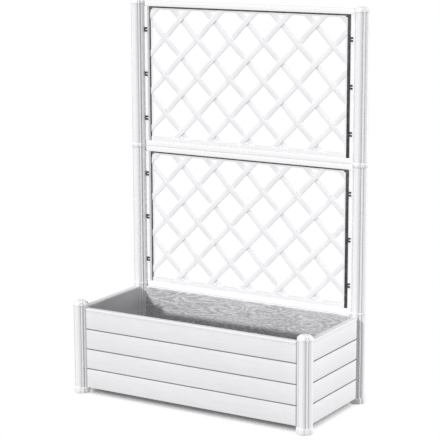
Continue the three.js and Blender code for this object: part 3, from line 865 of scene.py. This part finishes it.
for tier, bottom in tiers.items():
    low = bottom + RAIL_HEIGHT + AIR
    high = bottom + TIER_HEIGHT - RAIL_HEIGHT - AIR
    shape = strip((LATTICE_LEFT, LATTICE_RIGHT), (high - TOP_STRIP, high), 2 * MM)
    top_name = f"{tier.title()} tier, top strip"
    piece(top_name, shape, [strip_painted_shadow], f"{tier}_top_strip", 60)
    # painted shadow: the left strip is narrower than the right one, as the shade beside the lattice
    # is
    x_ranges = {
        "left": (-OPENING_HALF, LATTICE_LEFT - AIR),
        "right": (LATTICE_RIGHT + AIR, OPENING_HALF),
    }
    for side_name, x_range in x_ranges.items():
        shape = strip(x_range, (low, high), 1.6 * MM)
        name = f"{tier.title()} tier, {side_name} strip"
        piece(name, shape, [strip_painted_shadow], f"{tier}_{side_name}_strip", 60)


# %% Clips
CLIP_PRONG = ((6, -8.5), (6, -1.9), (-3, -1.9))  # mm from the clip's middle, the lower prong
CLIP_RADII = (1.4, 1.4, 1.4, 0.5, 0.5, 1.4, 1.4, 1.4)
CLIP_FRONT = FRAME_FRONT - 3.3 * MM
CLIP_THICK = 3 * MM
CLIP_PITCH = 167 * MM
CLIP_PLACES = {"left": 35.6 * MM - POST_X, "right": POST_X - 39.5 * MM}


def clip(x, z):
    """A plate 12 mm wide and 17 mm tall with a notch in one edge, so that two prongs show."""
    upper_prong = [(a, -b) for a, b in CLIP_PRONG[::-1]]
    steps = [(-6, -8.5), *CLIP_PRONG, *upper_prong, (-6, 8.5)]
    corners = np.array([x, z]) + np.array(steps) * MM
    outline = rounded(corners, np.array(CLIP_RADII) * MM, 4)
    stations = [CLIP_FRONT, CLIP_FRONT + CLIP_THICK]
    return skin(carried(outline, stations, (1, 0, 0), (0, 0, 1), (0, 1, 0)))


for tier, bottom in tiers.items():
    middle = bottom + TIER_HEIGHT / 2
    for side_name, place in CLIP_PLACES.items():
        for number in range(3):
            shape = clip(place, middle + (number - 1) * CLIP_PITCH)
            node = f"{tier}_{side_name}_clip_{number + 1}"
            name = f"{tier.title()} tier, {side_name} clip {number + 1}"
            piece(name, shape, [clip_plastic], node, 40, 0.5 * MM)
print(len(made), "pieces made in all")

# %% [markdown]
# ## Floor, light and camera
#
# The photograph is a studio picture on white, and its shadows tell where the lamps stood. Inside
# the box, the rim's shadow on the rear wall shows a low key lamp in front, a little to the left;
# the bright right side and the dark left inner wall show a level card on the right, set a little
# behind the planter. Weaker cards on the left and in front on the right, and a wide soft top lamp,
# keep the posts round. The ground shows only as a soft dark line under the box, so it gets a lamp
# of its own from above and fades into a white surround.

# %% Ground that fades into white
GROUND_RADIUS = 1.6
SHADE_INSET = 42 * MM  # inside the rectangle of the post axes the ground is at its densest
SHADE_REACH = 72 * MM  # from there to where the ground is gone
SHADE_DENSITY = 0.93


def ground_finish():
    """Pale matt ground whose opacity falls to nothing from under the box outwards.

    The distance from a rectangle of half sizes a and b is the length of
    (max(|x| - a, 0), max(|y| - b, 0)).
    """
    material = bpy.data.materials.new("Pale studio ground")
    material.use_nodes = True
    tree = material.node_tree
    shader = tree.nodes["Principled BSDF"]
    place = make_node(tree, "ShaderNodeTexCoord", {}, "Object")
    cloudy = cloudiness(place, 3.0, 2.0)
    tone = cloudy.blend(rgb(250, 250, 251), rgb(253, 253, 254))
    tree.links.new(tone.socket, shader.inputs["Base Color"])
    tree.links.new((0.8 + cloudy * 0.1).socket, shader.inputs["Roughness"])
    shader.inputs["Specular IOR Level"].default_value = 0.0
    split = {axis: place.node("ShaderNodeSeparateXYZ", {0: place}, axis) for axis in "XY"}
    beyond = {}
    for axis, half in (("X", POST_X - SHADE_INSET), ("Y", POST_Y - SHADE_INSET)):
        outside = split[axis].size() - half
        beyond[axis] = outside.sum("MAXIMUM", outside, 0.0)
    distance = (beyond["X"] ** 2.0 + beyond["Y"] ** 2.0) ** 0.5
    solid = (1.0 - distance.between(0.0, SHADE_REACH)) * SHADE_DENSITY
    tree.links.new(solid.socket, shader.inputs["Alpha"])
    return material


sweep = np.linspace(0, 2 * np.pi, 96, endpoint=False)
disc = np.column_stack([GROUND_RADIUS * np.cos(sweep), GROUND_RADIUS * np.sin(sweep), 0 * sweep])
ground_mesh = bpy.data.meshes.new("Studio ground")
ground_mesh.from_pydata(disc.tolist(), [], [list(range(96))])
ground = bpy.data.objects.new("Studio ground", ground_mesh)
bpy.context.scene.collection.objects.link(ground)
ground_mesh.materials.append(ground_finish())
ground.visible_diffuse = False  # the planter gets its light from the lamps and the surround alone
ground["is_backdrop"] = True


# %% World and lamps
def studio_world(strength):
    """White where the camera sees it, and a weaker white for the light that it gives."""
    world = bpy.data.worlds.new("White studio")
    world.use_nodes = True
    bpy.context.scene.world = world
    tree = world.node_tree
    tree.nodes.clear()
    paths = tree.nodes.new("ShaderNodeLightPath")
    seen = tree.nodes.new("ShaderNodeBackground")
    seen.inputs["Color"].default_value = (1, 1, 1, 1)
    lit = tree.nodes.new("ShaderNodeBackground")
    lit.inputs["Color"].default_value = (1, 1, 1, 1)
    lit.inputs["Strength"].default_value = strength
    mix = tree.nodes.new("ShaderNodeMixShader")
    tree.links.new(paths.outputs["Is Camera Ray"], mix.inputs["Fac"])
    tree.links.new(lit.outputs[0], mix.inputs[1])
    tree.links.new(seen.outputs[0], mix.inputs[2])
    output = tree.nodes.new("ShaderNodeOutputWorld")
    tree.links.new(mix.outputs[0], output.inputs["Surface"])


def lamp(name, direction, strength, softness, shines_on):
    """A distant soft lamp from a direction, its angular size in degrees, and what it shines on."""
    light = bpy.data.lights.new(name, "SUN")
    light.energy = strength
    light.angle = np.radians(softness)
    thing = bpy.data.objects.new(name, light)
    thing.rotation_mode = "QUATERNION"
    thing.rotation_quaternion = Vector(direction).to_track_quat("Z", "Y")
    bpy.context.scene.collection.objects.link(thing)
    thing.light_linking.receiver_collection = shines_on


def lit_together(name, things):
    """A collection that a lamp can be told to shine on."""
    group = bpy.data.collections.new(name)
    for thing in things:
        group.objects.link(thing)
    return group


planter_pieces = lit_together("Planter pieces", [*made, floor_panel])
ground_alone = lit_together("Ground alone", [ground])
studio_world(0.2)
lamp("Key, low in front", (-0.19, -0.95, 0.24), 2.05, 3, planter_pieces)
lamp("Card in front on the right", (0.35, -0.93, 0.1), 0.45, 10, planter_pieces)
lamp("Card on the right", (0.78, 0.62, 0.0), 3.1, 12, planter_pieces)
lamp("Card on the left", (-0.95, 0.3, 0.05), 1.1, 20, planter_pieces)
lamp("Top", (-0.1, -0.2, 1.0), 1.5, 40, planter_pieces)
lamp("Top, ground", (0.0, 0.0, 1.0), 2.6, 25, ground_alone)


# %% Camera at the photograph's viewing angle
def aim_camera(location, target, roll, lens):
    """A camera at a place in metres that looks at a target, with a small roll in degrees."""
    data = bpy.data.cameras.new("Photo camera")
    data.lens = lens
    data.sensor_width = 36.0
    data.clip_start, data.clip_end = 0.1, 100.0
    camera = bpy.data.objects.new("Photo camera", data)
    back = (Vector(location) - Vector(target)).normalized()
    turn = back.to_track_quat("Z", "Y").to_matrix() @ Matrix.Rotation(np.radians(roll), 3, "Z")
    camera.rotation_mode = "QUATERNION"
    camera.rotation_quaternion = turn.to_quaternion()
    camera.location = location
    bpy.context.scene.collection.objects.link(camera)
    bpy.context.scene.camera = camera


CAMERA_PLACE = (2.9742, -4.9045, 1.8265)
CAMERA_TARGET = (0.0107, 0.0, 0.6638)
aim_camera(CAMERA_PLACE, CAMERA_TARGET, roll=-0.17, lens=133.19)
bpy.context.scene.view_settings.view_transform = "Standard"

# %% [markdown]
# ## Measuring the dressed model
#
# Last, the box of the dressed model is measured and printed, because the dressing must not
# change the planter's size.

# %% Sizes and the end
low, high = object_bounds()
print("visual box", [round(v, 4) for v in low], [round(v, 4) for v in high])
